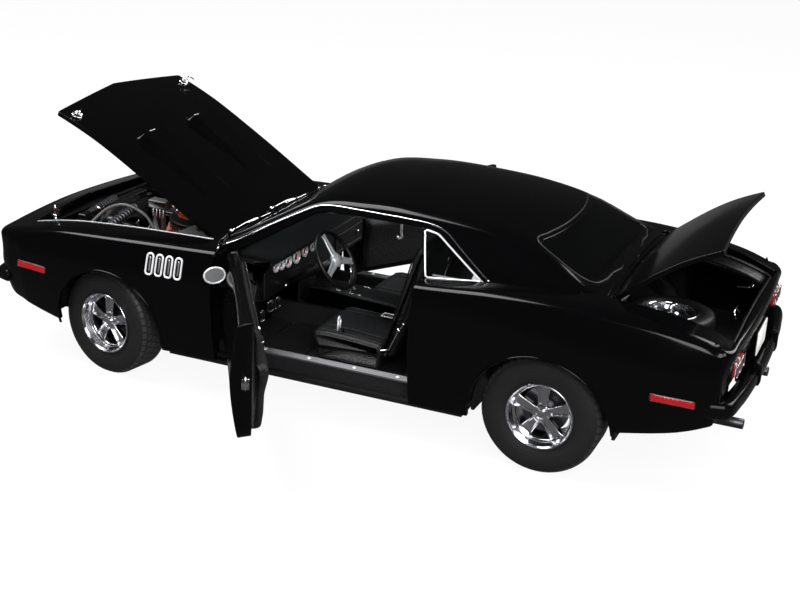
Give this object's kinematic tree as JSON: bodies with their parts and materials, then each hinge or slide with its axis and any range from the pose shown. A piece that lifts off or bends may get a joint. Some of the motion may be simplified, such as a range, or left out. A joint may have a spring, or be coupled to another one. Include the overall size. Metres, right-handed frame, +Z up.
{
  "type": "muscle car scale model",
  "caption": "1:18 scale model of a two-door muscle car with opening hood, doors and boot lid, steering front wheels and rolling wheels.",
  "frame": {"origin": "on the ground under the middle of the model, halfway along and across it with its doors open", "axes": "+X to the model's own left, +Y towards its tail, +Z up"},
  "size_m": [0.2078, 0.2634, 0.0888],
  "materials": {
    "body_paint": "gloss",
    "bumper_black": "gloss",
    "clear_glass": "polished",
    "black_plastic": "satin",
    "interior_vinyl": "grained",
    "bright_aluminium": "brushed",
    "steel_pipe": "satin",
    "engine_paint": "gloss",
    "lamp_glass": "polished",
    "red_lens": "polished",
    "plate_white": "gloss",
    "tyre_rubber": "matte",
    "wheel_chrome": "polished"
  },
  "bodies": {
    "car_body": {"air_cleaner": "engine_paint", "battery_and_tanks": "black_plastic", "cabin_tub": "interior_vinyl", "chassis": "black_plastic", "console_and_shifter": "interior_vinyl", "cooling_fan": "black_plastic", "dashboard": "interior_vinyl", "driveline": "black_plastic", "engine_bay": "black_plastic", "engine_block": "engine_paint", "exhaust": "steel_pipe", "front_bumper": "bumper_black", "front_control_arms": "black_plastic", "front_fender_left": "body_paint", "front_fender_right": "body_paint", "front_seat_left": "interior_vinyl", "front_seat_right": "interior_vinyl", "fuel_tank": "black_plastic", "grille": "black_plastic", "headlamps": "lamp_glass", "leaf_springs": "black_plastic", "nose_panel": "body_paint", "number_plate": "plate_white", "quarter_panel_left": "body_paint", "quarter_panel_right": "body_paint", "quarter_windows": "clear_glass", "radiator": "black_plastic", "rear_axle": "black_plastic", "rear_bumper": "bumper_black", "rear_seat": "interior_vinyl", "rear_wheel_wells": "black_plastic", "rear_window": "clear_glass", "roof_and_pillars": "body_paint", "sill_plates": "bright_aluminium", "spare_wheel": "tyre_rubber", "steering_wheel": "interior_vinyl", "tail_lamp_left": "red_lens", "tail_lamp_right": "red_lens", "tail_panel": "body_paint", "windscreen": "clear_glass"},
    "hood": {"hood": "body_paint"},
    "boot_lid": {"boot_lid": "body_paint"},
    "door_left": {"door_left": "body_paint", "door_trim_left": "interior_vinyl"},
    "door_right": {"door_right": "body_paint", "door_trim_right": "interior_vinyl"},
    "knuckle_left": {"knuckle_left": "black_plastic"},
    "knuckle_right": {"knuckle_right": "black_plastic"},
    "wheel_front_left": {"tyre_front_left": "tyre_rubber", "rim_front_left": "wheel_chrome"},
    "wheel_front_right": {"tyre_front_right": "tyre_rubber", "rim_front_right": "wheel_chrome"},
    "wheel_rear_left": {"tyre_rear_left": "tyre_rubber", "rim_rear_left": "wheel_chrome"},
    "wheel_rear_right": {"tyre_rear_right": "tyre_rubber", "rim_rear_right": "wheel_chrome"}
  },
  "joints": [
    {"name": "hood_hinge", "type": "hinge", "parent": "car_body", "child": "hood", "pos_m": [0, -0.0439, 0.049], "axis": [1, 0, 0], "range_deg": [0, 34]},
    {"name": "boot_hinge", "type": "hinge", "parent": "car_body", "child": "boot_lid", "pos_m": [0, 0.0902, 0.0532], "axis": [1, 0, 0], "range_deg": [-45, 0]},
    {"name": "door_left_hinge", "type": "hinge", "parent": "car_body", "child": "door_left", "pos_m": [0.0491, -0.034, 0.03], "axis": [0, 0, 1], "range_deg": [0, 57]},
    {"name": "door_right_hinge", "type": "hinge", "parent": "car_body", "child": "door_right", "pos_m": [-0.0491, -0.034, 0.03], "axis": [0, 0, 1], "range_deg": [-57, 0]},
    {"name": "steer_left", "type": "hinge", "parent": "car_body", "child": "knuckle_left", "pos_m": [0.0374, -0.0792, 0.0182], "axis": [0, 0, 1], "range_deg": [-10, 30]},
    {"name": "steer_right", "type": "hinge", "parent": "car_body", "child": "knuckle_right", "pos_m": [-0.0374, -0.0792, 0.0182], "axis": [0, 0, 1], "range_deg": [-10, 30]},
    {"name": "spin_front_left", "type": "hinge", "parent": "knuckle_left", "child": "wheel_front_left", "pos_m": [0.0374, -0.0792, 0.0182], "axis": [0.9848, -0.1736, 0], "continuous": true},
    {"name": "spin_front_right", "type": "hinge", "parent": "knuckle_right", "child": "wheel_front_right", "pos_m": [-0.0374, -0.0792, 0.0182], "axis": [0.9848, -0.1736, 0], "continuous": true},
    {"name": "spin_rear_left", "type": "hinge", "parent": "car_body", "child": "wheel_rear_left", "pos_m": [0.0416, 0.0732, 0.0188], "axis": [1, 0, 0], "continuous": true},
    {"name": "spin_rear_right", "type": "hinge", "parent": "car_body", "child": "wheel_rear_right", "pos_m": [-0.0416, 0.0732, 0.0188], "axis": [1, 0, 0], "continuous": true}
  ],
  "couplings": [
    {"joint": "steer_right", "follows": "steer_left", "ratio": 1}
  ]
}
